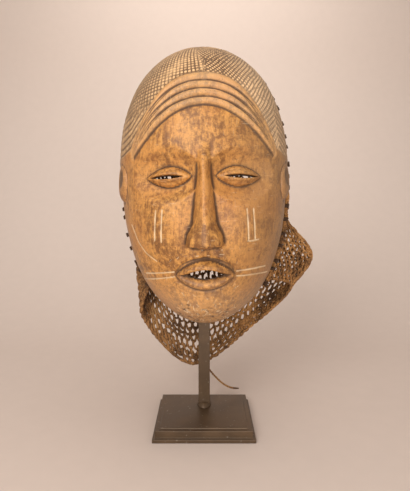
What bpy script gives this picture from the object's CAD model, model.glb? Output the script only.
import math

import bmesh
import bpy
import numpy as np
from mathutils import Matrix, Vector, kdtree


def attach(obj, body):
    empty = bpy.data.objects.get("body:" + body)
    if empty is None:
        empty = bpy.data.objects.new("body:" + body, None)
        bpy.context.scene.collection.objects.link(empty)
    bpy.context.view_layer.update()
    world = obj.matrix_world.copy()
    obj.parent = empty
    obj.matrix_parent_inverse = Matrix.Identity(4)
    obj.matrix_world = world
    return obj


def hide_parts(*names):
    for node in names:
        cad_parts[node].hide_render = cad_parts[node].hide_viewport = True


bl_info = {
    "name": "Carved mask on a stand",
    "version": (1, 0, 0),
    "blender": (4, 5, 0),
    "location": "View3D > Sidebar > Mask",
    "description": "Makes a carved wooden face mask with a knotted net hood on a post and base",
    "category": "Object",
}

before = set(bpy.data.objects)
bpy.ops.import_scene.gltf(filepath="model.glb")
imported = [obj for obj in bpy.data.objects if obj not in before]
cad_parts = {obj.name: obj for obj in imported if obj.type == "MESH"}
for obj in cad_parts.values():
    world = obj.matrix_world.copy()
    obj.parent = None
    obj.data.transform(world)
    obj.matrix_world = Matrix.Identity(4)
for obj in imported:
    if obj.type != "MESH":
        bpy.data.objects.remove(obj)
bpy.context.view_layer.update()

MM = 0.001
SEED = 7
# Gap between pieces of the stand that touch in the real one
CLEARANCE = 0.0003
# Height, in millimetres, given to places outside a raised form
OUTSIDE = -40.0
# Steps of the carved grid across and up, and of the plainer one inside across
ACROSS = 118
UP = 132
INNER_ACROSS = 42

# The camera's focal length and shift against the picture's height, and its place
PICTURE_HIGH = 491
PICTURE_FOCAL = 470
PICTURE_SHIFT = 40
SENSOR = 36
CAMERA_PLACE = (0.0008, -0.4422, 0.2110)
CAMERA_DOWN = 0.88

# The backdrop's half size, and where and how widely it bends upwards
PAPER_HALF = 2.5
BEND_Y = 0.20
BEND_ROUND = 0.60

# Each light's name, place, aim, size, power and spread
LIGHTS = (
    ("key from the left", (-0.42, -0.92, 0.74), (0, 0, 0.20), 0.60, 7.1, 180),
    ("soft box above", (0.10, -0.10, 1.10), (0, 0, 0.10), 0.60, 1.7, 180),
    ("front fill", (0.12, -1.00, 0.15), (0, 0, 0.18), 0.60, 5.2, 180),
    ("wall wash", (0.0, 0.40, 1.10), (0, 1.1, 0.35), 0.70, 1.5, 110),
)
LIGHT_TINT = (1, 0.96, 0.92)
ROOM_TINT = (1, 0.95, 0.91, 1)
ROOM_STRENGTH = 0.42


def mm(value):
    """A length in metres as millimetres, which the carving is worked out in."""
    return value * 1000.0


def length(name, value, description, low=0.0, high=1.0):
    return bpy.props.FloatProperty(
        name=name, description=description, default=value, min=low, max=high,
        subtype="DISTANCE", unit="LENGTH", precision=4,
    )


def angle(name, degrees, description):
    return bpy.props.FloatProperty(
        name=name, description=description, default=math.radians(degrees),
        subtype="ANGLE", unit="ROTATION",
    )


def colour(name, value, description):
    return bpy.props.FloatVectorProperty(
        name=name, description=description, default=value, size=3,
        min=0.0, max=1.0, subtype="COLOR",
    )


class MaskSizes(bpy.types.PropertyGroup):
    height: length("Height", 0.259, "Chin to crown")
    width: length("Width", 0.155, "Rim to rim at the widest place")
    depth: length("Depth", 0.080, "Rim plane to the deepest part of the plain dome")
    wall: length("Wall", 0.007, "Thickness of the wood at the rim")
    front_wall: length("Front wall", 0.009, "Thickness of the wood behind the face")
    lean: angle("Lean", 4.0, "How far the crown leans back")
    roll: angle("Roll", 0.9, "How far the crown turns to the left")
    middle_y: length("Middle Y", 0.014, "Rim plane's middle behind the base's middle", -1.0)
    middle_z: length("Middle Z", 0.224, "Rim plane's middle above the floor")
    socket_depth: length("Socket depth", 0.0095, "How deep the eye sockets are hollowed")
    nose_rise: length("Nose rise", 0.021, "How far the nose's tip stands off the face")
    lip_rise: length("Lip rise", 0.007, "How far the lips stand off the face")
    band_rise: length("Band rise", 0.0032, "How far the hair bands stand proud")
    hatch_pitch: length("Hatch pitch", 0.0034, "Spacing of the cuts in the hair cap")
    hatch_depth: length("Hatch depth", 0.0010, "Depth of the cuts in the hair cap")


class NetSizes(bpy.types.PropertyGroup):
    cord: length("Cord", 0.0021, "Thickness of the net's cord")
    cell_wide: length("Cell width", 0.0068, "Loop to loop along a row")
    cell_high: length("Cell height", 0.0062, "Row to row")
    lace: length("Lacing", 0.003, "Thickness of the cord behind the rim")
    stitch_pitch: length("Stitch pitch", 0.0125, "Stitch to stitch round the rim")
    string: length("String", 0.0015, "Thickness of the loose string")


class StandSizes(bpy.types.PropertyGroup):
    plate_wide: length("Plate width", 0.090, "Bottom plate, left to right")
    plate_deep: length("Plate depth", 0.082, "Bottom plate, front to back")
    plate_high: length("Plate height", 0.0032, "Thickness of the bottom plate")
    block_step: length("Block step", 0.0026, "Ledge between plate and block")
    block_high: length("Block height", 0.0061, "Height of the block")
    panel_step: length("Panel step", 0.0038, "Ledge between block and top panel")
    panel_high: length("Panel height", 0.001, "Height of the top panel")
    post_side: length("Post side", 0.011, "Side of the square post")
    post_y: length("Post Y", 0.0146, "Post's middle behind the base's middle", -1.0)
    post_top: length("Post top", 0.129, "Top of the post above the floor")
    bar_half: length("Crossbar half", 0.045, "Half the length of the bar behind the rim")
    bar_high: length("Crossbar height", 0.010, "Height of the bar")
    bar_thick: length("Crossbar thickness", 0.006, "Thickness of the bar")
    edge: length("Edge", 0.0004, "Roundness of the metal's edges")


class Finishes(bpy.types.PropertyGroup):
    ochre: colour("Ochre", (0.66, 0.315, 0.078), "Rubbed wood where light wear has polished it")
    brown: colour("Brown", (0.225, 0.092, 0.025), "Wood under its patina")
    rust: colour("Rust", (0.46, 0.175, 0.042), "Redder stain in the wood")
    umber: colour("Umber", (0.190, 0.085, 0.036), "Dark stain in the wood")
    dark: colour("Dark", (0.060, 0.028, 0.014), "Grime in the cuts and recesses")
    pale: colour("Pale", (0.74, 0.55, 0.335), "Fresh scratches and filled strokes")
    fibre: colour("Fibre", (0.600, 0.292, 0.092), "Plant fibre cord")
    fibre_dark: colour("Fibre, dark", (0.070, 0.029, 0.010), "Grimed fibre")
    metal: colour("Metal", (0.077, 0.045, 0.022), "Bronzed stand")
    wall: colour("Backdrop", (0.70, 0.585, 0.512), "Paper behind and under the object")


# Plain helpers of the carving, on arrays in millimetres

def smooth(a, b, v):
    t = np.clip((v - a) / (b - a), 0, 1)
    return t * t * (3 - 2 * t)


def swell(z, high, middle, up, low):
    """Share of the full size at a height, one at the widest place and none at the ends."""
    s = np.clip(z / high, -1, 1)
    r = np.where(s > middle, (s - middle) / (1 - middle), (middle - s) / (1 + middle))
    return np.sqrt(np.maximum(0, 1 - r ** np.where(s > middle, up, low)))


def soft_max(a, b, k):
    return 0.5 * (a + b + np.sqrt((a - b) ** 2 + k * k))


def bump(x, z, cx, cz, rx, rz, rise):
    e = np.clip(((x - cx) / rx) ** 2 + ((z - cz) / rz) ** 2, 0, 1)
    return rise * (1 - e) ** 2


def waves(x, y, z, scale, seed, count=14):
    """Smooth uneven field between about -1 and 1, the same on every run."""
    rng = np.random.default_rng(seed)
    out = np.zeros_like(np.asarray(x, float))
    for _ in range(count):
        k = rng.normal(size=3)
        k *= rng.uniform(0.6, 1.6) / (np.linalg.norm(k) * scale)
        out += np.sin(k[0] * x + k[1] * y + k[2] * z + rng.uniform(0, 2 * math.pi))
    return out / math.sqrt(count)


def groove(distance, half_wide):
    return np.exp(-(distance / half_wide) ** 2)


def raised(rise):
    """Where a raised form is."""
    return rise > OUTSIDE / 2


def at_places(places, known, values):
    """Points at some places along a line, from those at known places."""
    return np.stack([np.interp(places, known, values[:, k]) for k in range(3)], axis=-1)


def to_segment(x, z, a, b):
    """Distance from a straight cut between two points on the flat face."""
    d = np.array([b[0] - a[0], b[1] - a[1]], float)
    t = np.clip(((x - a[0]) * d[0] + (z - a[1]) * d[1]) / (d @ d), 0, 1)
    return np.hypot(x - a[0] - t * d[0], z - a[1] - t * d[1])


class MaskForm:
    """The mask's dome, its carving and its pose, from the sizes. Its own frame has its
    origin in the middle of the rim plane, and the face looks toward -Y."""

    power = 2.15
    hairline_top = 58.0
    hairline_temple = 20.0
    temple_x = 61.0
    cap_rise = 2.2
    band_count = 4
    band_pitch = 7.6
    band_half = 3.7
    band_sunk = 2.5
    temple_share = 0.34
    temple_pitch = 2.1
    socket_half_wide = 29.5
    socket_half_high = 22.0
    socket_round = 20.0
    lid_half_high = 9.0
    lid_rise = 8.0
    slit_half_wide = 14.5
    slit_half_high = 1.9
    nose_root_half = 5.5
    nose_flare = 3.2
    nose_root_rise = 5.0
    nose_turn = 4.2
    lip_half_wide = 23.0
    lip_thick = 4.6
    mouth_half_wide = 15.5
    mouth_half_high = 4.4
    ear_high = 36.0
    ear_deep = 26.0
    ear_half_thick = 5.5
    ear_from_rim = 30.0
    stroke_x = (34.0, 39.5)
    stroke_top = -27.0
    stroke_long = 26.0
    cap_girth = 66.0
    cap_arc = 108.0
    square_cut = 0.52
    slant_cut = 0.54
    cap_cuts = 230
    comb_cuts = 9
    chin_marks = 165
    lip_marks = 50

    def __init__(self, s):
        self.half_h = mm(s.height) / 2
        self.half_w = mm(s.width) / 2
        self.deep = mm(s.depth)
        for name in ("wall", "front_wall", "socket_depth", "nose_rise", "lip_rise",
                     "band_rise", "hatch_pitch", "hatch_depth"):
            setattr(self, name, mm(getattr(s, name)))
        unit = mm(s.height) / 3.5
        self.chin = -self.half_h
        self.nose_base = self.chin + unit
        self.brow = self.nose_base + unit
        self.mouth = self.nose_base - unit / 3
        self.eye_x = mm(s.width) / 5
        self.eye_half = mm(s.width) / 10 + 4.5
        self.wing = mm(s.width) / 10
        self.pose = (
            Matrix.Translation((0, mm(s.middle_y), mm(s.middle_z)))
            @ Matrix.Rotation(-s.roll, 4, "Y")
            @ Matrix.Rotation(-s.lean, 4, "X")
        )

    def width(self, z, inset=0.0):
        return (self.half_w - inset) * swell(z, self.half_h - inset, 0.1, 2.3, 2.35)

    def depth(self, z, inset=0.0, front=0.0):
        return (self.deep - front) * swell(z, self.half_h - inset, 0.06, 2.5, 3.2)

    def point(self, x, z, inset=0.0, front=0.0, relief=0.0):
        w = np.maximum(self.width(z, inset), 1e-6)
        share = np.clip(np.abs(x) / w, 0, 1)
        y = -self.depth(z, inset, front) * (1 - share ** self.power) ** (1 / self.power)
        p = np.stack([x, y, z], axis=-1)
        n = np.stack([x / self.half_w ** 2, y / self.deep ** 2, z / self.half_h ** 2], axis=-1)
        n /= np.maximum(np.linalg.norm(n, axis=-1, keepdims=True), 1e-9)
        return p + n * np.asarray(relief)[..., None]

    def placed(self, points):
        """Points of the mask's own frame, in millimetres, as metres in the row frame."""
        m = np.array(self.pose)
        return (points @ m[:3, :3].T + m[:3, 3]) * MM

    def hairline(self, x, top):
        t = np.abs(x) / self.temple_x
        inside = top - (top - self.hairline_temple) * np.minimum(t, 1) ** (
            2 + (top - self.hairline_top) / 60)
        return np.where(t >= 1, self.hairline_temple - 4 * np.clip((t - 1) / 0.15, 0, 1), inside)

    def socket(self, x, z):
        share = math.sqrt(1 - ((self.socket_round - self.socket_depth) / self.socket_round) ** 2)
        dx = (np.abs(x) - self.eye_x) * share / self.socket_half_wide
        dz = (z - 1) * share / self.socket_half_high
        r = np.clip(dx * dx + dz * dz, 0, 1)
        floor = self.socket_round - self.socket_depth
        return np.maximum(0, self.socket_round * np.sqrt(1 - r) - floor)

    def nose_half(self, z):
        t = np.clip((self.brow - z) / (self.brow - self.nose_base), 0, 1)
        plain = self.nose_root_half + (self.wing - self.nose_flare - self.nose_root_half) * t ** 1.4
        return plain + self.nose_flare * smooth(0.74, 0.92, t)

    def nose(self, x, z):
        """Rise of the nose and the share of its section at each point."""
        t = np.clip((self.brow - z) / (self.brow - self.nose_base), 0, 1)
        ridge = self.nose_root_rise + (self.nose_rise - self.nose_root_rise) * t ** 1.1
        ridge = ridge * smooth(self.brow + 11, self.brow - 8, z)
        across = np.clip(np.abs(x) / (1.04 * self.nose_half(z)), 0, 1)
        section = np.cos(0.5 * math.pi * across) ** 1.05
        # The wings swell beside the tip
        low = smooth(0.70, 0.95, t)
        section = section + 0.16 * low * np.exp(-((across - 0.66) / 0.2) ** 2)
        section = np.where(across >= 1, 0, section)
        under = smooth(self.nose_base - self.nose_turn, self.nose_base + self.nose_turn, z)
        return ridge * section * under, section * (ridge > 0)

    def thin(self, t, least):
        return least + (1 - least) * np.maximum(0, 1 - t * t)

    def lids(self, x, z):
        """Rise of the lids over the plain dome, far below it outside them."""
        t = (np.abs(x) - self.eye_x) / self.eye_half
        inside = np.abs(t) < 1
        half = self.lid_half_high * self.thin(t, 0.06)
        e = np.clip(z / half, -1, 1)
        rise = self.lid_rise * self.thin(t, 0.2) * np.sqrt(1 - e * e)
        floor = -self.socket(x, np.zeros_like(z))
        return np.where(inside & (np.abs(e) < 1), floor + rise, OUTSIDE), t, z / half

    def lips(self, x, z):
        t = x / self.lip_half_wide
        out = np.full_like(x, OUTSIDE)
        for side in (-1, 1):
            middle = self.mouth + side * (self.mouth_half_high + 0.6 * self.lip_thick) * (1 - t * t)
            half = self.lip_thick * self.thin(t, 0.3)
            e = (z - middle) / half
            rise = self.lip_rise * self.thin(t, 0.3) * np.maximum(0, 1 - np.abs(e) ** 2.3) ** 0.8
            rise = rise - 2.2 * np.maximum(0, np.abs(e) - 1) * half
            out = np.where((np.abs(t) < 1) & (np.abs(e) < 1.8), np.maximum(out, rise), out)
        return out

    def bands(self, x, z):
        """Rise of the hair bands, the distance to the cuts beside them and to the one below."""
        out = np.full_like(x, OUTSIDE)
        edge = np.full_like(x, -OUTSIDE)
        t = np.clip(np.abs(x) / self.temple_x, 0, 1)
        share = 1 - (1 - self.temple_share) * t ** 3
        fade = smooth(self.temple_x + 1.5, self.temple_x - 2.5, np.abs(x))
        for k in range(self.band_count):
            top = self.hairline_top + self.band_pitch * (k + 0.5)
            drop = (k - 1) * self.temple_pitch
            line = self.hairline(x, top) + drop * t ** 3
            step = 0.5
            slope = (self.hairline(x + step, top) - self.hairline(x - step, top)) / (2 * step)
            half = self.band_half * share
            e = (z - line) / (half * np.sqrt(1 + slope ** 2))
            body = self.band_sunk + self.band_rise * (0.5 + 0.5 * share)
            wander = 0.25 * np.sin(0.16 * x + 1.7 * k) + 0.12 * np.sin(0.43 * x + 2.9 * k)
            rise = -self.band_sunk + (body + wander) * fade * np.sqrt(np.maximum(0, 1 - e * e))
            out = np.where(np.abs(e) < 1, np.maximum(out, rise), out)
            away = np.abs(np.abs(e) - 1) * self.band_half * np.sqrt(share) + 3 * (1 - fade)
            edge = np.minimum(edge, away)
            if k == 0:
                under = np.abs(e + 1) * half + 3 * (1 - fade)
        return out, edge, under

    def hatching(self, x, z):
        """Depth share of the cuts in the hair cap: squares on the left, slanting cuts on
        the right, and a comb of deep cuts over the right temple."""
        across = np.clip(x / np.maximum(self.width(z), 1e-6), -1, 1)
        girth = 0.45 * self.width(z) + 0.55 * self.cap_girth
        s = girth * np.arcsin(across)
        q = self.cap_arc * np.arcsin(np.clip(z / self.half_h, -1, 1)) + 0.10 * np.abs(s)
        s = s + 0.5 * waves(s, q, 0 * s, 12, 21)
        q = q + 0.5 * waves(s, q, 0 * s, 14, 22)
        pitch = self.hatch_pitch

        def lines(turn, spacing, wide):
            a = math.radians(turn)
            c = s * math.cos(a) + q * math.sin(a)
            d = (np.mod(c / spacing + 0.5, 1) - 0.5) * spacing
            return groove(d, wide)

        left = smooth(4, -6, x + 0.25 * (z - 100))
        wide = self.square_cut
        squares = np.maximum(lines(4, pitch, wide), lines(93, pitch * 1.05, wide))
        worn = smooth(-1.7, -0.2, waves(s, q, 0 * s, 9, 23))
        # At the left temple the squares are rubbed away, with cuts beside the bands
        low = smooth(78, 46, z)
        slope = z - self.hairline(x, self.hairline_top)
        beside = groove((np.mod(slope / 5.6 + 0.2 * waves(s, q, 0 * s, 9, 27), 1) - 0.5) * 2.5, 0.5)
        squares = np.maximum(squares * (1 - 0.65 * low), 0.8 * beside * low)
        out = squares * left * (0.45 + 0.55 * worn)
        s, q = s + 1.5 * waves(s, q, 0 * s, 6, 25), q + 1.5 * waves(s, q, 0 * s, 6, 26)
        patches = waves(s, q, 0 * s, 9, 24)
        slanting = np.maximum(
            lines(38, 2.9, self.slant_cut) * smooth(-1.3, -0.2, patches),
            lines(-44, 3.1, self.slant_cut) * smooth(1.3, 0.2, patches),
        )
        out = np.maximum(out, slanting * (1 - left))
        rng = np.random.default_rng(31)
        for _ in range(self.cap_cuts):
            a = np.array([rng.uniform(-16, 98), rng.uniform(62, 168)])
            turn = math.radians(rng.choice([30, 62, 100, 128, 155]) + rng.uniform(-12, 12))
            b = a + rng.uniform(4, 12) * np.array([math.cos(turn), math.sin(turn)])
            cut = groove(to_segment(s, q, a, b), 0.48) * (1 - left)
            out = np.maximum(out, cut * rng.uniform(0.6, 1.2))
        # A comb of slanting cuts over the right temple
        out = out * (1 - 0.6 * smooth(59, 63, x) * smooth(66, 58, z))
        for k in range(self.comb_cuts):
            top = 60 - 5.4 * k
            cut = to_segment(x, z, (62 + 0.5 * k, top), (75.5, top - 12))
            out = np.maximum(out, 1.3 * groove(cut, 0.8) * smooth(57, 61, x))
        return out

    def strokes(self):
        """Two upright on each cheek, two level beside the mouth, and a foot on one."""
        cuts = []
        for at in (-1, 1):
            for k, sx in enumerate(self.stroke_x):
                low = self.stroke_top - self.stroke_long + 1.5 * k
                cuts.append(((at * sx, self.stroke_top), (at * sx + 0.7 * at, low), 1.0))
            for k, up in enumerate((-3, 3)):
                inner = (at * (self.lip_half_wide + 3), self.mouth + 0.7 * up)
                outer = (at * (self.lip_half_wide + 32 - 3 * k), self.mouth + up + 2.5 * at - 1)
                cuts.append((inner, outer, 1.0))
        foot = self.stroke_top - self.stroke_long
        cuts.append(((self.stroke_x[0], foot), (self.stroke_x[1] + 4, foot + 1), 0.8))
        return cuts

    def knife_marks(self):
        """Short marks under the chin and round the lips, each with how pale it is."""
        rng = np.random.default_rng(41)
        for k in range(self.chin_marks + self.lip_marks):
            if k < self.chin_marks:
                a = np.array([rng.uniform(-24, 26), rng.uniform(-127, -103)])
                turn = rng.uniform(0, math.pi)
            else:
                turn = rng.uniform(0, 2 * math.pi)
                ring_at = rng.uniform(1.08, 1.5)
                a = np.array([25 * ring_at * math.cos(turn),
                              self.mouth + 14 * ring_at * math.sin(turn)])
                turn += math.pi / 2 + rng.uniform(-0.5, 0.5)
            b = a + rng.uniform(1.0, 3.8) * np.array([math.cos(turn), math.sin(turn)])
            yield a, b, rng.choice([0.0, 0.3, 0.5, 0.7])

    def relief(self, x, z):
        """Height of the carving over the plain dome, and the shares of each kind of mark."""
        side = np.abs(x)
        band_top = self.hairline_top + self.band_pitch * self.band_count
        cap = smooth(-12, 4, z - self.hairline(x, band_top - 2))
        h = bump(side, z, self.eye_x + 5, self.nose_base + 10, 26, 34, 2.5)
        h = h + bump(x, z, 0, self.chin + 18, 34, 26, 4) + self.cap_rise * cap
        # Light unevenness left by the adze and the knife
        h = h + 0.16 * waves(x, 0 * x, z, 9, 3) + 0.07 * waves(x, 0 * x, z, 3.2, 4)
        h = h - self.socket(x, z)
        lids, lid_t, lid_e = self.lids(x, z)
        h = soft_max(h, lids, 0.35) - 0.09 * raised(lids)
        # A thin raised margin along each slit
        edge = np.abs(lid_e) * self.lid_half_high
        margin = groove(edge - 3.3, 0.8) * smooth(1.0, 0.75, np.abs(lid_t)) * (np.abs(lid_e) < 1)
        h = h + 0.6 * margin - 0.75 * groove(edge - 5.4, 0.65) * raised(lids) * smooth(
            0.95, 0.7, np.abs(lid_t))
        nose = self.nose(x, z)[0]
        h = h + soft_max(nose, 0 * nose, 1.6) - 0.8
        lips = self.lips(x, z)
        h = np.where(raised(lips), soft_max(h, lips, 0.5), h)
        # A cut round the lips, and the hollow between nose and lip
        ring = np.hypot(x / (self.lip_half_wide + 1.5), (z - self.mouth) / 13.2)
        h = h - 0.9 * groove((ring - 1) * 14, 1.0)
        h = h - 0.8 * bump(x, z, 0, self.mouth + 15, 5, 9, 1)
        bands, edge_of_band, under = self.bands(x, z)
        h = np.where(raised(bands), soft_max(h, bands, 0.8), h)
        beside = groove(edge_of_band, 0.80 - 0.40 * smooth(20, 48, side))
        beside = beside * (1 - 0.55 * smooth(36, 60, side))
        beside = np.maximum(beside, groove(under, 0.75))
        h = h - 0.35 * beside
        band = smooth(-2.0, -0.5, bands)
        top_line = self.hairline(x, band_top) + (self.band_count - 1.5) * self.temple_pitch * (
            np.clip(side / self.temple_x, 0, 1) ** 3)
        hair = smooth(-1.0, 1.2, z - top_line)
        hair = hair * smooth(0, 2.5, z - 18)
        hatch = self.hatching(x, z) * hair
        h = h - self.hatch_depth * hatch
        rubbed = 0.6 + 0.5 * waves(x, 0 * x, z, 5, 61)
        pale = 0.34 * rubbed * groove(edge_of_band - 1.6, 0.4) * raised(bands)
        pale = pale * smooth(44, 32, side)
        for a, b, deep in self.strokes():
            d = to_segment(x, z, a, b)
            h = h - 0.6 * deep * groove(d, 0.7) + 0.12 * groove(d - 1.5, 0.7)
            uneven = 1.0 + 0.25 * waves(x, 0 * x, z, 2.5, 77)
            pale = np.maximum(pale, 0.95 * deep * uneven * groove(d, 0.62))
        # A long scratch over the left jaw
        arc = [(-64, -38), (-58, -52), (-50, -62), (-40, -69)]
        for a, b in zip(arc, arc[1:]):
            d = to_segment(x, z, a, b)
            h = h - 0.3 * groove(d, 0.6)
            pale = np.maximum(pale, 0.75 * groove(d, 0.6))
        # Rubbed and chipped wood under the chin, and knife marks there and round the lips
        rough = waves(x, 0 * x, z, 0.75, 9) + 0.7 * waves(x, 0 * x, z, 1.6, 12)
        chips = np.maximum(0, rough - 0.45) * smooth(-102, -109, z) * smooth(30, 18, side)
        h = h - 0.7 * np.minimum(chips, 1.2)
        for a, b, paleness in self.knife_marks():
            mark = groove(to_segment(x, z, a, b), 0.40)
            h = h - 0.38 * mark
            pale = np.maximum(pale, paleness * mark)
        return h, pale, np.maximum(hatch, 0), hair, np.minimum(chips, 1), beside, band

    def skin(self, x, z):
        """Carved surface at flat places, with the nose's tip turned under."""
        h, pale, hatch, hair, chips, beside, band = self.relief(x, z)
        q = (z - self.nose_base) / self.nose_turn
        _, section = self.nose(x, np.full_like(z, self.nose_base + self.nose_turn))
        turned = self.nose_base + self.nose_turn * np.clip(q, -1, 1) ** 3
        near = (np.abs(q) < 1) * np.clip(section, 0, 1) ** 0.5
        nostril = groove(np.abs(x) - 6.6, 2.4) * groove(q, 0.42) * 3.4
        lifted = z + (turned + nostril - z) * near
        p = self.point(x, z, relief=h)
        p[..., 2] += lifted - z

        def about(step):
            """Mean height a step away on four sides."""
            return (self.relief(x + step, z)[0] + self.relief(x - step, z)[0]
                    + self.relief(x, z + step)[0] + self.relief(x, z - step)[0]) / 4

        hollow = np.clip(1.1 * (about(1.1) - h), -1, 1)
        hollow = hollow + np.clip(0.42 * (about(3.4) - h), -1, 1)
        hollow = np.maximum(hollow * (1 - 0.6 * (beside > 0.02)), 1.2 * beside)
        marks = {
            "pale": pale,
            "cut": np.clip(hatch, 0, 1.5),
            "hair": hair,
            "chips": chips,
            "band": band,
            "hollow": np.clip(hollow, -1.5, 1.5),
        }
        return p, marks


def new_object(name, mesh):
    piece = bpy.data.objects.new(name, mesh)
    bpy.context.scene.collection.objects.link(piece)
    return piece


def mesh_from(bm, name, smooth_faces=True):
    mesh = bpy.data.meshes.new(name)
    bm.to_mesh(mesh)
    bm.free()
    if smooth_faces:
        shade_smooth(mesh)
    return mesh


def shade_smooth(mesh):
    mesh.polygons.foreach_set("use_smooth", [True] * len(mesh.polygons))


def evaluated_mesh(piece):
    graph = bpy.context.evaluated_depsgraph_get()
    graph.update()
    return bpy.data.meshes.new_from_object(piece.evaluated_get(graph))


def move_made(bm, made, move):
    """Moves the points that an extrusion made."""
    moved = [v for v in made["geom"] if isinstance(v, bmesh.types.BMVert)]
    bmesh.ops.translate(bm, vec=move, verts=moved)


def block(size, middle):
    bm = bmesh.new()
    bmesh.ops.create_cube(bm, size=1)
    bmesh.ops.scale(bm, vec=size, verts=bm.verts[:])
    bmesh.ops.translate(bm, vec=middle, verts=bm.verts[:])
    return bm


def finish_piece(piece, material, nodes):
    """Each piece rides on the one body, takes its slot's finish and stands for its nodes."""
    piece.data.materials.clear()
    piece.data.materials.append(material)
    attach(piece, "root")
    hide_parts(*nodes)
    return piece


def applied(piece):
    """Works the modifiers into the mesh and removes them."""
    mesh = evaluated_mesh(piece)
    old = piece.data
    piece.modifiers.clear()
    piece.data = mesh
    bpy.data.meshes.remove(old)


def joined_or_cut(piece, tool, operation):
    change = piece.modifiers.new(operation.title(), "BOOLEAN")
    change.operation = operation
    change.object = tool
    change.solver = "MANIFOLD"
    applied(piece)
    bpy.data.objects.remove(tool, do_unlink=True)


def almond(form, x, z, half_wide, half_high):
    """Pointed oval cutter right through the front, in the mask's own frame."""
    bm = bmesh.new()
    bmesh.ops.create_circle(bm, cap_ends=True, radius=1, segments=40)
    for v in bm.verts:
        across = max(-1.0, min(1.0, v.co.x))
        up = math.copysign(half_high * (1 - across * across), v.co.y)
        v.co = (x + across * half_wide, -6, z + (0 if abs(across) > 0.9999 else up))
    made = bmesh.ops.extrude_face_region(bm, geom=bm.faces[:])
    move_made(bm, made, (0, -(form.deep + 60), 0))
    bmesh.ops.remove_doubles(bm, verts=bm.verts[:], dist=1e-4)
    return bm


def tool_object(form, bm, name):
    bmesh.ops.recalc_face_normals(bm, faces=bm.faces[:])
    tool = new_object(name, mesh_from(bm, name, smooth_faces=False))
    place_points(form, tool.data)
    return tool


def place_points(form, mesh):
    flat = np.empty(len(mesh.vertices) * 3)
    mesh.vertices.foreach_get("co", flat)
    mesh.vertices.foreach_set("co", form.placed(flat.reshape(-1, 3)).ravel())
    mesh.update()


def shape_grid(bm, verts, flat, points):
    """Puts a flat grid's points in their places and closes it at its poles."""
    for v, place in zip(verts, points):
        v.co = place
    poles = [v for v, at in zip(verts, flat) if abs(at[1]) > 0.99999]
    bmesh.ops.remove_doubles(bm, verts=poles, dist=1e-3)


def make_mask_blank(form):
    """Carved outside and hollowed inside, closed round the rim."""
    bm = bmesh.new()
    bmesh.ops.create_grid(bm, x_segments=ACROSS, y_segments=UP, size=1)

    def flat(c, t):
        z = form.half_h * np.sin(0.5 * math.pi * t)
        return np.sin(0.5 * math.pi * c) * form.width(z), z

    faces = bm.faces[:]
    middles = np.array([f.calc_center_median() for f in faces])
    x, z = flat(middles[:, 0], middles[:, 1])
    side = np.abs(x)
    hair = z > form.hairline(x, form.hairline_top) - 3.5
    hair &= (side < form.temple_x + 3) | (z > 18)
    eyes = (np.abs(side - form.eye_x) < 27) & (np.abs(z - 1) < 15)
    nose = (side < 18) & (z > form.nose_base - 7) & (z < form.brow + 8)
    mouth = (side < 40) & (np.abs(z - form.mouth) < 24)
    strokes = (np.abs(side - 38) < 7) & (z < form.stroke_top + 3) & (
        z > form.stroke_top - form.stroke_long - 4)
    strokes |= (side < 60) & (np.abs(z - form.mouth) < 7)
    strokes |= (np.abs(x + 52) < 14) & (np.abs(z + 53) < 19)
    chin = (side < 32) & (z < -102)
    # The grid is close enough as it is beside the poles
    fine = (hair | eyes | nose | mouth | strokes | chin) & (np.abs(z) < 124)
    # The two rims have even steps, so that they join without a twist
    fine &= np.abs(middles[:, 0]) < 1 - 1.5 / ACROSS
    split = {e for f, wanted in zip(faces, fine) if wanted for e in f.edges}
    edges = [e for e in bm.edges if e in split]
    bmesh.ops.subdivide_edges(bm, edges=edges, cuts=2, use_grid_fill=True)
    outer = bm.verts[:]
    co = np.array([v.co[:2] for v in outer])
    x, z = flat(co[:, 0], co[:, 1])
    p, marks = form.skin(x, z)
    shape_grid(bm, outer, co, p)

    made = bmesh.ops.create_grid(bm, x_segments=INNER_ACROSS, y_segments=UP, size=1)["verts"]
    co = np.array([v.co[:2] for v in made])
    z = (form.half_h - form.wall) * np.sin(0.5 * math.pi * co[:, 1])
    x = np.sin(0.5 * math.pi * co[:, 0]) * form.width(z, form.wall)
    inset = -0.85 * form.socket(x, z)
    inner = form.point(x, z, form.wall, form.front_wall, inset)
    # Broad gouge marks inside, none at the rim
    away = smooth(0, 10, -inner[:, 1])
    inner = inner * (1 + (0.008 * waves(*inner.T, 7, 5) * away)[:, None])
    shape_grid(bm, made, co, inner)

    rims = [e for e in bm.edges if e.is_boundary]
    # Rims in one plane can join back to front, so the inner one stands apart meanwhile
    inner_rim = {v for v in made if v.is_valid and v.is_boundary}
    apart = 30
    for v in inner_rim:
        v.co.y += apart
    bmesh.ops.bridge_loops(bm, edges=rims)
    for v in inner_rim:
        v.co.y -= apart
    bmesh.ops.recalc_face_normals(bm, faces=bm.faces[:])
    open_edges = sum(1 for e in bm.edges if not e.is_manifold)
    if open_edges:
        raise RuntimeError(f"the mask's blank has {open_edges} open edges")
    return bm, p, marks


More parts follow.
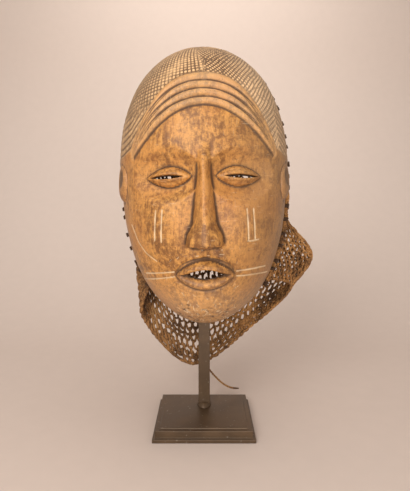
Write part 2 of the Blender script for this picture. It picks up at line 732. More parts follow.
def ear_tool(form, side):
    z = form.brow - form.ear_high / 2
    back = (form.ear_from_rim / float(form.depth(np.array(z)))) ** form.power
    x = side * (float(form.width(np.array(z))) * (1 - back) ** (1 / form.power) - 1)
    turn = side * math.atan2(-form.ear_from_rim / form.deep ** 2, abs(x) / form.half_w ** 2)
    bm = bmesh.new()
    bmesh.ops.create_uvsphere(bm, u_segments=40, v_segments=28, radius=1)
    for v in bm.verts:
        p = Vector((v.co.x, v.co.y, v.co.z))
        out = p.x * side
        y, up = p.y * form.ear_deep / 2, p.z * form.ear_high / 2
        thick = form.ear_half_thick * out
        if out > 0:
            # Hollow of the shell, with a ridge of its own inside it
            e = math.hypot(y / (form.ear_deep / 2 - 4.0), (up - 2.5) / (form.ear_high / 2 - 6.0))
            thick -= 4.2 * math.exp(-(e / 0.8) ** 4) * min(1, out * 2)
            ridge = math.hypot(y / 4.2, (up - 2) / 8.0)
            thick += 1.6 * math.exp(-((ridge - 1) / 0.35) ** 2) * min(1, out * 2)
        v.co = (side * thick, y, up)
    move = Matrix.Translation((x, -form.ear_from_rim, z)) @ Matrix.Rotation(
        turn, 4, "Z") @ Matrix.Rotation(math.radians(-8), 4, "X")
    bmesh.ops.transform(bm, matrix=move, verts=bm.verts[:])
    return bm, move


def undone(move, points):
    """Points as they were before a move."""
    return (np.c_[points, np.ones(len(points))] @ np.array(move.inverted()).T)[:, :3]


def make_mask(s, material):
    form = MaskForm(s)
    bm, points, marks = make_mask_blank(form)
    mask = new_object("mask_wood", mesh_from(bm, "mask_wood"))
    place_points(form, mask.data)
    radii = np.array([form.ear_half_thick, form.ear_deep / 2, form.ear_high / 2])
    for side in (-1, 1):
        bm, move = ear_tool(form, side)
        shell = np.array([v.co for v in bm.verts])
        sunk = 1 - np.linalg.norm(undone(move, shell) / radii, axis=1)
        points = np.concatenate([points, shell])
        for name in marks:
            share = np.clip(3.2 * sunk, 0, 1.2) if name == "hollow" else 0 * sunk
            marks[name] = np.concatenate([marks[name], share])
        # Grime in the crease between ear and head
        off = np.linalg.norm(undone(move, points) / (radii + 0.6), axis=1) - 1
        skin = np.arange(len(points)) < len(points) - len(shell)
        marks["hollow"] = np.maximum(marks["hollow"], 0.95 * groove(off, 0.09) * skin)
        joined_or_cut(mask, tool_object(form, bm, "ear"), "UNION")
    cuts = [almond(form, side * form.eye_x, 0, form.slit_half_wide, form.slit_half_high)
            for side in (-1, 1)]
    cuts.append(almond(form, 0, form.mouth, form.mouth_half_wide, form.mouth_half_high))
    for side in (-1, 1):
        bm = bmesh.new()
        bmesh.ops.create_cone(bm, cap_ends=True, segments=16, radius1=1.7, radius2=1.7, depth=40)
        at = (side * form.half_w, -form.ear_from_rim, form.brow - form.ear_high + 6)
        turn = Matrix.Translation(at) @ Matrix.Rotation(math.pi / 2, 4, "Y")
        bmesh.ops.transform(bm, matrix=turn, verts=bm.verts[:])
        cuts.append(bm)
    for bm in cuts:
        joined_or_cut(mask, tool_object(form, bm, "cutter"), "DIFFERENCE")
    shade_smooth(mask.data)

    # The marks go on last, because the cuts change the points
    placed = form.placed(points)
    tree = kdtree.KDTree(len(placed))
    for i, p in enumerate(placed):
        tree.insert(p, i)
    tree.balance()
    found = [tree.find(v.co) for v in mask.data.vertices]
    near = np.array([f[1] for f in found])
    gap = np.array([f[2] for f in found])
    inside = smooth(0.5 * MM, 1.5 * MM, gap)
    shares = {name: values[near] * (1 - inside) for name, values in marks.items()}
    shares["inside"] = inside
    for name, values in shares.items():
        layer = mask.data.attributes.new(name, "FLOAT", "POINT")
        layer.data.foreach_set("value", values.astype(np.float32))
    return finish_piece(mask, material, ["mask"])


class NetForm:
    """The hood's middle surface: u from left to right, v from the crown to the hem."""

    inset = 3.6
    crown = 64.0
    jaw = -46.0
    back = 44.0
    right_bulge = 48.0
    bulge_down = 0.84
    bulge_down_spread = 0.11
    bulge_across = 0.8
    bulge_across_spread = 0.16
    hem_back = 26.0
    hem_low = (-13.0, -180.0)
    hem_right = (84.0, -103.0)
    hem_left = (-63.0, -128.0)
    hem_belly = 11.0
    folds = 5
    fold_deep = 3.0
    gap = 0.3
    lace = 3.0
    thick = 2.4

    def __init__(self, form):
        self.form = form
        self.u = np.linspace(0, 1, 401)
        self.hem_line = np.array([self.hem(u) for u in self.u])

    def rim(self, angle, inset):
        a = np.radians(angle)
        z = (self.form.half_h - inset) * np.sin(a)
        side = np.where(np.cos(a) < 0, -1, 1)
        return np.stack([side * self.form.width(z, inset), 0 * z, z], axis=-1)

    def hem(self, u):
        left = self.rim(np.array(180 - self.jaw), self.inset)
        right = self.rim(np.array(self.jaw), self.inset)
        middle = ((self.hem_low[0] + self.hem_right[0]) / 2, self.hem_back * 1.4,
                  (self.hem_low[1] + self.hem_right[1]) / 2 - self.hem_belly)
        stops = [
            left,
            np.array((self.hem_left[0], self.hem_back * 0.5, self.hem_left[1])),
            np.array((self.hem_low[0], self.hem_back, self.hem_low[1])),
            np.array(middle),
            np.array((self.hem_right[0], self.hem_back * 1.2, self.hem_right[1])),
            right,
        ]
        last = len(stops) - 1
        at = min(int(u * last), last - 1)
        w = u * last - at
        p1, p2 = stops[at], stops[at + 1]
        p0 = stops[at - 1] if at > 0 else 2 * stops[0] - stops[1]
        p3 = stops[at + 2] if at + 2 <= last else 2 * stops[last] - stops[last - 1]
        d0, d1, d2 = (np.linalg.norm(b - a) ** 0.5 for a, b in ((p0, p1), (p1, p2), (p2, p3)))
        t1 = ((p1 - p0) / d0 - (p2 - p0) / (d0 + d1) + (p2 - p1) / d1) * d1
        t2 = ((p2 - p1) / d1 - (p3 - p1) / (d1 + d2) + (p3 - p2) / d2) * d1
        return (p1 + t1 * w + (3 * (p2 - p1) - 2 * t1 - t2) * w ** 2
                + (2 * (p1 - p2) + t1 + t2) * w ** 3)

    def hem_at(self, u):
        return at_places(u, self.u, self.hem_line)

    def point(self, u, v):
        u, v = np.clip(u, 0, 1), np.clip(v, 0, 1)
        down = self.crown + (self.jaw - self.crown) * v
        left, right = self.rim(180 - down, self.inset), self.rim(down, self.inset)
        top = self.rim(180 - self.crown + (2 * self.crown - 180) * u, self.inset)
        corner_r = self.rim(np.full_like(u, self.crown), self.inset)
        corner_l = corner_r * np.array([-1, 1, 1])
        hem = self.hem_at(u)
        ends = self.hem_line[0], self.hem_line[-1]
        a, b = u[..., None], v[..., None]
        p = left * (1 - a) + right * a + top * (1 - b) + hem * b
        p = p - corner_l * (1 - a) * (1 - b) - corner_r * a * (1 - b)
        p = p - ends[0] * (1 - a) * b - ends[1] * a * b
        arch = np.sin(math.pi * u)
        full = np.maximum(arch, 0) ** 0.7
        p[..., 1] += self.back * full * np.maximum(np.sin(math.pi * v ** 0.8), 0) ** 0.8
        low = np.exp(-((v - self.bulge_down) / self.bulge_down_spread) ** 2)
        rightward = np.exp(-((u - self.bulge_across) / self.bulge_across_spread) ** 2)
        p[..., 0] += self.right_bulge * low * rightward * arch
        p[..., 1] += self.fold_deep * np.sin(2 * math.pi * self.folds * u) * full * v
        p[..., 1] += self.gap + self.lace + self.gap + self.thick / 2
        return p


def tubes(name, lines, radii, sides_up, closed=()):
    """Round cords along lists of points, as one curve object."""
    curve = bpy.data.curves.new(name, "CURVE")
    curve.dimensions = "3D"
    curve.bevel_depth = 1.0
    curve.bevel_resolution = sides_up
    curve.use_fill_caps = True
    for k, (points, radius) in enumerate(zip(lines, radii)):
        spline = curve.splines.new("POLY")
        spline.points.add(len(points) - 1)
        flat = np.ones((len(points), 4))
        flat[:, :3] = points
        spline.points.foreach_set("co", flat.ravel())
        spline.points.foreach_set("radius", np.broadcast_to(radius, len(points)).astype(float))
        spline.use_cyclic_u = k in closed
    piece = bpy.data.objects.new(name, curve)
    bpy.context.scene.collection.objects.link(piece)
    return piece


def walked(points):
    """Length walked along a line at each of its points."""
    return np.concatenate([[0], np.cumsum(np.linalg.norm(np.diff(points, axis=0), axis=1))])


def as_mesh(piece):
    """The curve's own tube, kept as a mesh with closed ends."""
    mesh = evaluated_mesh(piece)
    bm = bmesh.new()
    bm.from_mesh(mesh)
    bmesh.ops.remove_doubles(bm, verts=bm.verts[:], dist=1e-7)
    bmesh.ops.recalc_face_normals(bm, faces=bm.faces[:])
    bm.to_mesh(mesh)
    bm.free()
    name = piece.name
    bpy.data.objects.remove(piece, do_unlink=True)
    mesh.name = name
    shade_smooth(mesh)
    return new_object(name, mesh)


def net_selvages(net):
    """Cords along the crown, the hem and both sides, each with its thickness."""
    for v0, wide in ((0.004, 1.1), (0.996, 1.35)):
        u = np.linspace(0.004, 0.996, 110)
        p = net.point(u, np.full_like(u, v0))
        p[:, 1] += 0.35 * np.sin(np.arange(110) * 1.9)
        yield p, wide * (1 + 0.1 * np.sin(np.arange(110) * 2.3))
    for u0 in (0.004, 0.996):
        v = np.linspace(0.01, 0.99, 90)
        yield net.point(np.full_like(v, u0), v), 1.1 * (1 + 0.1 * np.sin(np.arange(90) * 2.3))


def net_bundle(net):
    """The gathered edge stands out past the right rim as a rough twisted bundle."""
    a = np.linspace(-1, net.jaw - 2, 150)
    middle = net.rim(a, -3.4)
    middle[:, 1] += 2.6
    out = net.rim(a, -6.0) - net.rim(a, -3.0)
    out /= np.linalg.norm(out, axis=1, keepdims=True)
    along = walked(middle)
    swollen = smooth(0, 10, along) * smooth(along[-1], along[-1] - 8, along)
    for k in range(4):
        turn = 2 * math.pi * along / 8.5 + 0.5 * math.pi * k
        wide = 1.5 + 0.5 * waves(along, 0 * along, 0 * along, 4, 800 + k)
        wide = wide * (0.25 + 0.75 * swollen)
        p = middle + out * (wide * np.cos(turn))[:, None]
        p[:, 1] += wide * np.sin(turn)
        yield p, 1.05 + 0.2 * waves(along, 0 * along, 0 * along, 2, 810 + k)


def make_net(mask, s, material):
    """Looped netting: each row of loops hooks into the row above it."""
    form = MaskForm(mask)
    net = NetForm(form)
    rng = np.random.default_rng(SEED)
    grid_steps = 120
    grid = np.linspace(0, 1, grid_steps + 1)
    uu, vv = np.meshgrid(grid, grid)
    surface = net.point(uu, vv)
    across = np.linalg.norm(np.diff(surface, axis=1), axis=2)
    down = np.linalg.norm(np.diff(surface, axis=0), axis=2)
    long = float(down.sum(axis=0)[30:-30].mean())
    rows = int(round(long / mm(s.cell_high)))
    lines, radii = [], []
    per_cell = 8
    for j in range(rows):
        v0 = (j + 0.5) / rows
        row = np.interp(v0, grid, across.sum(axis=1)) if j else across.sum(axis=1)[0]
        cells = max(10, int(round(row / mm(s.cell_wide))))
        # Even cells along the row, though the surface is stretched unevenly
        walk = np.concatenate([[0], np.cumsum(across[min(grid_steps, int(v0 * grid_steps))])])
        walk /= walk[-1]
        steps = cells * per_cell + 1
        i = np.linspace(0, cells, steps)
        phase = 2 * math.pi * i
        jitter = waves(i, 0 * i, 0 * i, 0.9, 100 + j)
        swing = 0.26 + 0.07 * waves(i, 0 * i, 0 * i, 2.1, 200 + j)
        along = i + swing * np.sin(phase) + 0.14 * jitter + 0.5 * (j % 2) - 0.25
        u = np.interp(np.clip(along / cells, 0, 1), walk, grid)
        rise = 0.60 + 0.14 * waves(i, 0 * i, 0 * i, 1.6, 400 + j)
        v = v0 + (rise * np.cos(phase) + 0.16 * waves(i, 0 * i, 0 * i, 1.3, 300 + j)) / rows
        # The last row hangs clear of the hem's cord over a short stretch on the left
        if j == rows - 1:
            clear = smooth(0.26, 0.30, u) * smooth(0.43, 0.39, u)
            v = v - 0.020 * clear * (0.55 + 0.45 * np.cos(phase / 3))
        # The whole net is pulled a little out of square
        pulled = np.sin(math.pi * np.clip(u, 0, 1)) * np.sin(math.pi * v0)
        v = v + 0.020 * pulled * waves(30 * u, 30 * v, 0 * u, 4.0, 51)
        u = u + 0.012 * pulled * waves(30 * u, 30 * v, 0 * u, 4.0, 52)
        p = net.point(u, np.clip(v, 0.002, 0.998))
        e = 1e-3
        du = net.point(u + e, v) - net.point(u - e, v)
        dv = net.point(u, np.clip(v + e, 0, 1)) - net.point(u, np.clip(v - e, 0, 1))
        n = np.cross(du, dv)
        n /= np.maximum(np.linalg.norm(n, axis=1, keepdims=True), 1e-9)
        lift = 0.42 * mm(s.cord) * np.sin(phase) + 0.25 * waves(i, 0 * i, 0 * i, 0.8, 500 + j)
        p = p + n * lift[:, None]
        lines.append(form.placed(p))
        # Thick where one loop hooks into the next, thin and open beside the rim
        thick = 1 + 0.26 * np.abs(np.cos(phase)) ** 1.5 - 0.10
        thick = thick + 0.12 * waves(i, 0 * i, 0 * i, 0.7, 700 + j)
        thick = thick * (0.72 + 0.38 * smooth(0.05, 0.24, 1 - u) + 0.12 * smooth(0.86, 0.96, v))
        radii.append(0.5 * s.cord * thick * rng.uniform(0.92, 1.08))
    for p, thick in (*net_selvages(net), *net_bundle(net)):
        lines.append(form.placed(p))
        radii.append(0.5 * s.cord * thick)
    piece = as_mesh(tubes("net_cords", lines, radii, 1))
    piece = finish_piece(piece, material, ["net_hood"])
    # The net is a little fuller than the shape it hangs in
    return piece


def make_lacing(mask, s, material):
    """Cord behind the rim, with a stitch over the edge every so often."""
    form = MaskForm(mask)
    net = NetForm(form)
    a = np.linspace(180 - net.jaw, net.jaw, 241)
    p = net.rim(a, net.inset)
    p[:, 1] = net.gap + net.lace / 2 - 0.2
    lines, radii = [form.placed(p)], [0.5 * s.lace * 0.8 * np.ones(len(a))]
    lengths = walked(p)
    count = int(lengths[-1] / mm(s.stitch_pitch))
    rng = np.random.default_rng(SEED + 1)
    for k in range(count + 1):
        at = lengths[-1] * (k + rng.uniform(-0.22, 0.22) * (0 < k < count)) / count
        angle = float(np.interp(at, lengths, a))
        inner = net.rim(np.array(angle), net.inset)
        outer = net.rim(np.array(angle), 0.0)
        out = (outer - inner) / np.linalg.norm(outer - inner)
        reach = np.linalg.norm(outer - inner)
        back = net.gap + net.lace / 2
        slant = rng.uniform(-1.6, 1.6)
        along = np.cross(out, (0, 1, 0))
        stops = [
            (-1.0, back + 1.2, 0),
            (reach * 0.5, back + 1.9, 0.2),
            (reach + 0.4, back + 1.0, 0.5),
            (reach + 1.6, 0.2, 0.8),
            (reach + 1.8, -2.0, 1.0),
            (reach + 1.1, -4.2, 1.0),
            (reach - 1.2, -5.4, 1.0),
        ]
        line = [inner + out * o + np.array((0, y, 0)) + along * slant * w for o, y, w in stops]
        lines.append(form.placed(np.array(line)))
        radii.append(np.array([0.8, 0.95, 1.0, 1.0, 0.95, 0.9, 0.7]) * MM * rng.uniform(0.9, 1.15))
        # The knot on the edge: two turns of a short cord
        turn = np.linspace(0, 4 * math.pi, 15)
        right = out[0] > 0.5
        size = rng.uniform(1.2, 1.7) if right else rng.uniform(0.95, 1.45)
        knot = (outer + out * (3.8 if right else 1.8))[None] + size * (
            np.cos(turn)[:, None] * out * 0.9
            + np.sin(turn)[:, None] * np.array((0, 1.1, 0))
            + (turn / 6.0 - 1.0)[:, None] * along) + np.array((0, 0.3, 0))
        lines.append(form.placed(knot))
        radii.append(0.00072 * size * np.ones(15))
    piece = as_mesh(tubes("lacing", lines, radii, 1))
    return finish_piece(piece, material, ["lacing_cord"])


def string_route():
    """The loose string's route, as its solid has it."""
    points = []
    for i in range(17):
        t = i / 16
        x = -3 + 38 * t
        z = 48 - 29 * math.sin(math.pi / 2 * min(1, t * 1.12))
        points.append(((x * MM), (33 - 3 * t) * MM, z * MM))
    return points


def make_string(s, material):
    route = string_route()
    points = np.array(route)
    curve_long = float(np.linalg.norm(np.diff(points, axis=0), axis=1).sum())
    count = 81
    fine = at_places(np.linspace(0, len(points) - 1, count), np.arange(len(points)), points)
    for _ in range(6):
        fine[1:-1] = 0.25 * fine[:-2] + 0.5 * fine[1:-1] + 0.25 * fine[2:]
    # Two plies twisted round each other along the route
    lines, radii = [], []
    direction = np.gradient(fine, axis=0)
    direction /= np.linalg.norm(direction, axis=1, keepdims=True)
    side = np.cross(direction, (0, 1, 0))
    side /= np.linalg.norm(side, axis=1, keepdims=True)
    up = np.cross(side, direction)
    half = s.string / 2
    dense = np.linspace(0, 1, 321)
    middle, a, b = (at_places(dense, np.linspace(0, 1, count), line) for line in (fine, side, up))
    thin = 1 - 0.35 * np.clip((dense - 0.9) / 0.1, 0, 1)
    for ply in (0, math.pi):
        turn = dense * curve_long / (2.6 * s.string) * 2 * math.pi + ply
        place = middle + half * 0.6 * (np.cos(turn) * thin)[:, None] * a
        place = place + half * 0.6 * (np.sin(turn) * thin)[:, None] * b
        lines.append(place)
        radii.append(half * 0.76 * thin)
    piece = as_mesh(tubes("string_cord", lines, radii, 1))
    finish_piece(piece, material, ["loose_string"])
    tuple(route[0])
    return piece


def bevelled(bm, width, segments=2, sharpest=30):
    edges = [e for e in bm.edges
             if len(e.link_faces) == 2 and e.calc_face_angle() > math.radians(sharpest)]
    bmesh.ops.bevel(bm, geom=edges, offset=width, offset_type="OFFSET", segments=segments,
                    profile=0.5, affect="EDGES", clamp_overlap=True, material=-1)


def make_base(s, material):
    """Plate, block and top panel, drawn up from one slab."""
    bm = block((s.plate_wide, s.plate_deep, s.plate_high), (0, 0, s.plate_high / 2))
    for step, rise in ((s.block_step, s.block_high), (s.panel_step, s.panel_high)):
        top = max(bm.faces, key=lambda f: f.calc_center_median().z)
        bmesh.ops.inset_region(bm, faces=[top], thickness=step, use_even_offset=True)
        move_made(bm, bmesh.ops.extrude_face_region(bm, geom=[top]), (0, 0, rise))
        bmesh.ops.delete(bm, geom=[top], context="FACES_ONLY")
    bmesh.ops.recalc_face_normals(bm, faces=bm.faces[:])
    bevelled(bm, s.edge)
    piece = new_object("base_block", mesh_from(bm, "base_block", smooth_faces=False))
    return finish_piece(piece, material, ["stand_base"])


def make_post(mask, s, material):
    foot = s.plate_high + s.block_high + s.panel_high + CLEARANCE
    high = s.post_top - foot
    bm = block((s.post_side, s.post_side, high), (0, s.post_y, foot + high / 2))
    bevelled(bm, s.edge)
    post = new_object("post", mesh_from(bm, "post", smooth_faces=False))

    bm = bmesh.new()
    bmesh.ops.create_cone(bm, cap_ends=True, segments=40, radius1=1, radius2=0.62, depth=0.004)
    half = s.post_side / 2
    bmesh.ops.scale(bm, vec=(half + 0.0014, half + 0.005, 1), verts=bm.verts[:])
    bmesh.ops.translate(bm, vec=(0, s.post_y - 0.0015, foot + 0.002), verts=bm.verts[:])
    bevelled(bm, s.edge * 1.5, 3)
    bead = new_object("bead", mesh_from(bm, "bead"))
    joined_or_cut(post, bead, "UNION")

    bm = block((2 * s.bar_half, s.bar_thick, s.bar_high), (0, CLEARANCE + s.bar_thick / 2, 0))
    bevelled(bm, s.edge * 1.5)
    bmesh.ops.rotate(bm, cent=(0, 0, 0), matrix=Matrix.Rotation(-mask.lean, 3, "X"),
                     verts=bm.verts[:])
    z = s.post_top - s.bar_high / 2 - 0.001
    y = mask.middle_y + math.sin(mask.lean) * (z - mask.middle_z)
    bmesh.ops.translate(bm, vec=(0, y, z), verts=bm.verts[:])
    bar = new_object("bar", mesh_from(bm, "bar", smooth_faces=False))
    joined_or_cut(post, bar, "UNION")
    post.name = "post_bar"
    return finish_piece(post, material, ["stand_post"])


# Finishes

class Wire:
    """One output of a finish's nodes, which takes part in sums as a number does."""

    def __init__(self, finish, socket):
        self.finish = finish
        self.socket = socket

    def _sum(self, operation, a, b):
        return self.finish.add("ShaderNodeMath", {"operation": operation}, {0: a, 1: b})

    def __add__(self, other):
        return self._sum("ADD", self, other)

    def __radd__(self, other):
        return self._sum("ADD", other, self)

    def __sub__(self, other):
        return self._sum("SUBTRACT", self, other)

    def __rsub__(self, other):
        return self._sum("SUBTRACT", other, self)

    def __mul__(self, other):
        return self._sum("MULTIPLY", self, other)

    def __rmul__(self, other):
        return self._sum("MULTIPLY", other, self)

    def at_most(self, other):
        return self._sum("MINIMUM", self, other)

    def at_least(self, other):
        return self._sum("MAXIMUM", self, other)

    def between(self, low, high):
        """Zero below low, one above high, smooth between."""
        settings = {"interpolation_type": "SMOOTHSTEP"}
        return self.finish.add("ShaderNodeMapRange", settings, {0: self, 1: low, 2: high})


class Finish:
    """A material and the nodes that make it."""

    def __init__(self, name):
        self.material = bpy.data.materials.new(name)
        self.material.use_nodes = True
        self.tree = self.material.node_tree
        self.tree.nodes.clear()
        self.place = self.add("ShaderNodeTexCoord", {}, {}, "Object")

    def add(self, kind, settings, values, output=0):
        """One node: its settings first, then its sockets' values or wires."""
        node = self.tree.nodes.new(kind)
        for key, value in settings.items():
            setattr(node, key, value)
        for key, value in values.items():
            socket = node.inputs[key]
            if isinstance(value, Wire):
                self.tree.links.new(value.socket, socket)
            elif socket.type == "RGBA" and len(value) == 3:
                socket.default_value = (*value, 1)
            else:
                socket.default_value = value
        return Wire(self, node.outputs[output])

    def stretched(self, scale, turn=(0, 0, 0)):
        return self.add("ShaderNodeMapping", {}, {"Vector": self.place, "Scale": scale,
                                                   "Rotation": turn})

    def noise(self, scale, detail=4.0, rough=0.55, place=None, warp=0.0):
        return self.add("ShaderNodeTexNoise", {}, {
            "Vector": place or self.place, "Scale": scale, "Detail": detail,
            "Roughness": rough, "Distortion": warp})

    def axis(self, name):
        """Place along one axis, in metres."""
        return self.add("ShaderNodeSeparateXYZ", {}, {0: self.place}, name)

    def mark(self, name):
        return self.add("ShaderNodeAttribute", {"attribute_name": name}, {}, "Fac")

    def mix(self, factor, a, b, blend="MIX"):
        settings = {"data_type": "RGBA", "blend_type": blend, "clamp_factor": True}
        return self.add("ShaderNodeMix", settings, {0: factor, 6: a, 7: b}, 2)

    def bump(self, height, distance, strength=1.0, under=None):
        values = {"Height": height, "Distance": distance, "Strength": strength}
        if under is not None:
            values["Normal"] = under
        return self.add("ShaderNodeBump", {}, values)

    def end(self, **values):
        names = {k.replace("_", " "): v for k, v in values.items()}
        shader = self.add("ShaderNodeBsdfPrincipled", {}, names)
        node = self.tree.nodes.new("ShaderNodeOutputMaterial")
        self.tree.links.new(shader.socket, node.inputs["Surface"])
        return self.material


class WoodShades:
    """Lesser shades of the wood, beside those that a user sets."""

    band = (0.80, 0.52, 0.27)
    ridge = (0.72, 0.40, 0.16)
    cap = ((0.38, 0.22, 0.100), (0.98, 0.62, 0.310))
    cap_cut = (0.080, 0.042, 0.022)
    chin = (0.80, 0.54, 0.32)
    duller_cheek = (0.26, 0.150, 0.072)
    paler_cap = (0.88, 0.62, 0.38)
    darker_cap = (0.26, 0.165, 0.085)
    behind = (0.27, 0.190, 0.130)
    chip = (0.11, 0.058, 0.032)
    inside = ((0.11, 0.062, 0.034), (0.22, 0.13, 0.075))


def wood_finish(c):
    w = WoodShades
    f = Finish("carved wood")
    grain = f.noise(380, 6, 0.65, f.stretched((1, 1, 0.10)), 0.4)
    pores = f.noise(1500, 2, 0.6, f.stretched((1, 1, 0.12)))
    mottle = f.noise(270, 5, 0.66, None, 0.3)
    patch = f.noise(70, 5, 0.64, None, 0.6)
    cloud = f.noise(16, 4, 0.55, None, 0.3)
    speck = f.noise(640, 2, 0.5)
    hollow, hair, cut = f.mark("hollow"), f.mark("hair"), f.mark("cut")
    pale, chips, inside, band = f.mark("pale"), f.mark("chips"), f.mark("inside"), f.mark("band")

    tone = 0.30 * mottle + 0.22 * grain + 0.26 * patch + 0.22 * cloud
    body = f.mix(tone.between(0.43, 0.565), c.brown, c.ochre)
    body = f.mix(cloud.between(0.46, 0.64) * 0.45, body, c.rust)
    body = f.mix(patch.between(0.56, 0.72) * 0.30, body, c.umber)
    body = f.mix(band * 0.30, body, w.band)
    # Grime gathers in the hollows, the pores and the fine pits
    pits = (speck.between(0.62, 0.72) * 0.55).at_least(pores.between(0.60, 0.70) * 0.40)
    grime = (hollow.between(0.12, 0.95) * 0.88).at_least(pits)
    body = f.mix(grime, body, c.dark)
    # Edges and ridges are rubbed paler
    rubbed = (0.0 - hollow).between(0.10, 0.8) * mottle.between(0.38, 0.56) * 0.55
    body = f.mix(rubbed, body, w.ridge)
    # The hair cap is drier and greyer, dark in its cuts
    cap = f.mix(tone.between(0.42, 0.56), *w.cap)
    cap = f.mix((cut.between(0.05, 0.60) * 0.94).at_least(pits), cap, w.cap_cut)
    body = f.mix(hair * 0.88, body, cap)
    # The chin is dustier
    height = f.axis("Z") + 0.03 * (patch - 0.5)
    body = f.mix((1.0 - height.between(0.110, 0.155)) * 0.26, body, w.chin)
    # The left cheek, as the wearer has it, is duller and the cap above it is rubbed paler
    beyond = f.axis("X").between(0.012, 0.05)
    body = f.mix(beyond * (1.0 - hair) * (1.0 - band) * 0.42, body, w.duller_cheek)
    body = f.mix(beyond * hair * 0.35, body, w.paler_cap)
    before = f.axis("X").between(-0.05, -0.012)
    body = f.mix((1.0 - before) * hair * 0.32, body, w.darker_cap)
    # The sides behind the cheeks are darker and duller
    behind = (f.axis("Y") + 0.03 * (patch - 0.5)).between(-0.052, 0.006)
    body = f.mix(behind * 0.52, body, w.behind)
    body = f.mix(chips * 0.70, body, w.chip)
    # Fine scratches across the grain, and the filled strokes
    across = f.noise(110, 2, 0.5, f.stretched((1, 1, 12), (0.0, 0.35, 0.2)))
    along = f.noise(150, 2, 0.5, f.stretched((9, 1, 1), (0.0, 0.5, 0.0)))
    worn = (across.between(0.67, 0.71) * 0.25).at_least(along.between(0.68, 0.72) * 0.25)
    body = f.mix(worn, body, c.pale)
    body = f.mix((pale.between(0.15, 0.75) * (0.5 + 0.9 * mottle)).at_most(1.0), body, c.pale)
    back = f.mix(grain.between(0.35, 0.65), *w.inside)
    body = f.mix(inside, body, back)

    rough = 0.47 + 0.20 * (mottle - 0.5) + 0.25 * grime + 0.22 * hair
    rough = (rough + 0.25 * inside).at_most(0.92)
    coarse = f.bump(0.6 * grain + 0.4 * mottle, 0.0009, 0.55)
    fine = f.bump(0.5 * pores + 0.5 * speck, 0.0003, 0.55, coarse)
    return f.end(Base_Color=body, Roughness=rough, Normal=fine)


def fibre_finish(name, light, dark, dusty):
    f = Finish(name)
    patch = f.noise(45, 4, 0.6)
    strand = f.noise(900, 4, 0.7, f.stretched((1, 1, 0.6), (0.4, 0.3, 0.0)), 0.6)
    hair = f.noise(2600, 3, 0.6)
    tone = (0.55 * strand + 0.45 * patch).between(0.40, 0.62)
    body = f.mix(tone, dark, light)
    body = f.mix(patch.between(0.58, 0.74) * 0.5, body, dusty)
    # The left half holds more soot
    clean = f.axis("X").between(-0.02, 0.055)
    body = f.mix((1.0 - clean) * 0.42, body, dark)
    coarse = f.bump(strand, 0.0006, 0.8)
    fine = f.bump(hair, 0.0002, 0.6, coarse)
    return f.end(Base_Color=body, Roughness=0.86 + 0.1 * (strand - 0.5), Normal=fine)


def metal_finish(name, shade, worn, metallic):
    f = Finish(name)
    patch = f.noise(38, 5, 0.6)
    fine = f.noise(700, 4, 0.6)
    speck = f.noise(360, 1, 0.4)
    body = f.mix(patch.between(0.35, 0.7), shade, tuple(1.5 * v for v in shade))
    body = f.mix(speck.between(0.72, 0.76) * 0.5, body, worn)
    rough = 0.42 + 0.16 * (patch - 0.5) + 0.12 * (fine - 0.5)
    dents = f.bump(fine, 0.0001, 0.35)
    return f.end(Base_Color=body, Roughness=rough, Normal=dents, Metallic=metallic)


def paper_finish(c):
    f = Finish("backdrop paper")
    grain = f.noise(60, 3, 0.5)
    body = f.mix(grain.between(0.3, 0.7), c.wall, tuple(0.985 * v for v in c.wall))
    return f.end(Base_Color=body, Roughness=0.9 + 0.04 * (grain - 0.5))


# The operators that make the pieces

def groups():
    scene = bpy.context.scene
    return scene.mask_sizes, scene.net_sizes, scene.stand_sizes, scene.mask_finishes


def fibre(c):
    name = "plant fibre"
    return bpy.data.materials.get(name) or fibre_finish(
        name, c.fibre, c.fibre_dark, (0.66, 0.42, 0.19))


class MASK_OT_camera(bpy.types.Operator):
    """Sets the camera at the height of the mask, in front of it"""

    bl_idname = "mask.camera"
    bl_label = "Camera"

    def execute(self, context):
        data = bpy.data.cameras.new("camera")
        data.sensor_fit = "AUTO"
        data.sensor_width = SENSOR
        data.lens = PICTURE_FOCAL / PICTURE_HIGH * SENSOR
        data.shift_y = -PICTURE_SHIFT / PICTURE_HIGH
        data.clip_start, data.clip_end = 0.01, 20
        camera = bpy.data.objects.new("camera", data)
        camera.location = CAMERA_PLACE
        camera.rotation_euler = (math.radians(90 - CAMERA_DOWN), 0, 0)
        context.scene.collection.objects.link(camera)
        context.scene.camera = camera
        return {"FINISHED"}


class MASK_OT_string(bpy.types.Operator):
    """Makes the loose string that hangs out behind the net's hem"""

    bl_idname = "mask.string"
    bl_label = "Loose string"

    def execute(self, context):
        _, net, _, c = groups()
        make_string(net, fibre(c))
        return {"FINISHED"}


class MASK_OT_wood(bpy.types.Operator):
    """Carves the wooden mask"""

    bl_idname = "mask.wood"
    bl_label = "Wooden mask"

    def execute(self, context):
        mask, _, _, c = groups()
        make_mask(mask, wood_finish(c))
        return {"FINISHED"}


class MASK_OT_net(bpy.types.Operator):
    """Nets the fibre hood and laces it to the rim"""

    bl_idname = "mask.net"
    bl_label = "Net hood and lacing"

    def execute(self, context):
        mask, net, _, c = groups()
        make_net(mask, net, fibre(c))
        dark = fibre_finish("dark fibre", (0.085, 0.05, 0.028), c.fibre_dark, (0.12, 0.08, 0.05))
        make_lacing(mask, net, dark)
        return {"FINISHED"}


class MASK_OT_stand(bpy.types.Operator):
    """Makes the post with its crossbar, and the stepped base"""

    bl_idname = "mask.stand"
    bl_label = "Stand"

    def execute(self, context):
        mask, _, stand, c = groups()
        make_base(stand, metal_finish("base metal", c.metal, (0.3, 0.25, 0.2), 0.25))
        make_post(mask, stand, metal_finish("post metal", c.metal, (0.2, 0.16, 0.12), 0.35))
        return {"FINISHED"}


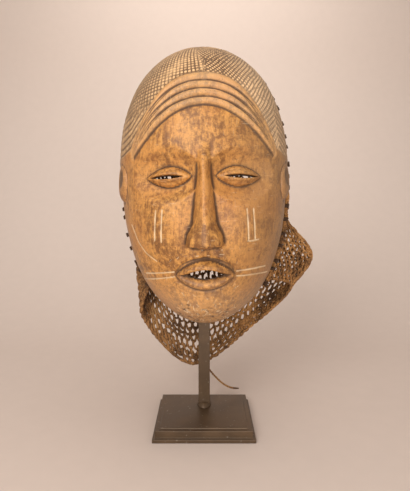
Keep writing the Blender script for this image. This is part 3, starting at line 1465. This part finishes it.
class MASK_OT_stage(bpy.types.Operator):
    """Lays the paper floor and backdrop and hangs the lights"""

    bl_idname = "mask.stage"
    bl_label = "Stage"

    def execute(self, context):
        _, _, _, c = groups()
        bm = bmesh.new()
        bmesh.ops.create_grid(bm, x_segments=1, y_segments=1, size=PAPER_HALF)
        bmesh.ops.translate(bm, vec=(0, BEND_Y - PAPER_HALF, -0.0002), verts=bm.verts[:])
        back = [e for e in bm.edges if all(v.co.y > BEND_Y - 0.1 for v in e.verts)]
        spun = bmesh.ops.spin(bm, geom=back, cent=(0, BEND_Y, BEND_ROUND), axis=(1, 0, 0),
                              dvec=(0, 0, 0), angle=math.pi / 2, steps=32, use_merge=False)
        last = [e for e in spun["geom_last"] if isinstance(e, bmesh.types.BMEdge)]
        move_made(bm, bmesh.ops.extrude_edge_only(bm, edges=last), (0, 0, PAPER_HALF))
        bmesh.ops.recalc_face_normals(bm, faces=bm.faces[:])
        paper = new_object("backdrop", mesh_from(bm, "backdrop"))
        paper.data.materials.append(paper_finish(c))
        for light in LIGHTS:
            hang(context, *light)
        context.scene.view_settings.view_transform = "Standard"
        world = bpy.data.worlds.new("room")
        world.use_nodes = True
        room = world.node_tree.nodes["Background"].inputs
        room["Color"].default_value = ROOM_TINT
        room["Strength"].default_value = ROOM_STRENGTH
        context.scene.world = world
        return {"FINISHED"}


def hang(context, name, place, toward, size, watts, spread):
    """Hangs one light and aims it."""
    data = bpy.data.lights.new(name, "AREA")
    data.shape = "DISK"
    data.size = size
    data.energy = watts
    data.spread = math.radians(spread)
    data.color = LIGHT_TINT
    light = bpy.data.objects.new(name, data)
    light.location = place
    aim = Vector(toward) - Vector(place)
    light.rotation_euler = aim.to_track_quat("-Z", "Y").to_euler()
    context.scene.collection.objects.link(light)


class MASK_PT_panel(bpy.types.Panel):
    """Lists the pieces and their sizes"""

    bl_idname = "MASK_PT_panel"
    bl_label = "Carved mask"
    bl_space_type = "VIEW_3D"
    bl_region_type = "UI"
    bl_category = "Mask"

    def draw(self, context):
        layout = self.layout
        for operator in OPERATORS:
            layout.operator(operator.bl_idname)
        for group in groups():
            box = layout.box()
            for name in group.__annotations__:
                box.prop(group, name)


OPERATORS = (MASK_OT_camera, MASK_OT_string, MASK_OT_wood, MASK_OT_net, MASK_OT_stand,
             MASK_OT_stage)
GROUPS = {
    "mask_sizes": MaskSizes,
    "net_sizes": NetSizes,
    "stand_sizes": StandSizes,
    "mask_finishes": Finishes,
}


def register():
    for made in (*GROUPS.values(), *OPERATORS, MASK_PT_panel):
        bpy.utils.register_class(made)
    for name, group in GROUPS.items():
        setattr(bpy.types.Scene, name, bpy.props.PointerProperty(type=group))


def unregister():
    for name in GROUPS:
        delattr(bpy.types.Scene, name)
    for made in reversed((*GROUPS.values(), *OPERATORS, MASK_PT_panel)):
        bpy.utils.unregister_class(made)


def main():
    register()
    bpy.ops.mask.camera()
    bpy.ops.mask.string()
    bpy.ops.mask.wood()
    bpy.ops.mask.net()
    bpy.ops.mask.stand()
    bpy.ops.mask.stage()
    bpy.context.view_layer.update()


if __name__ == "__main__":
    main()
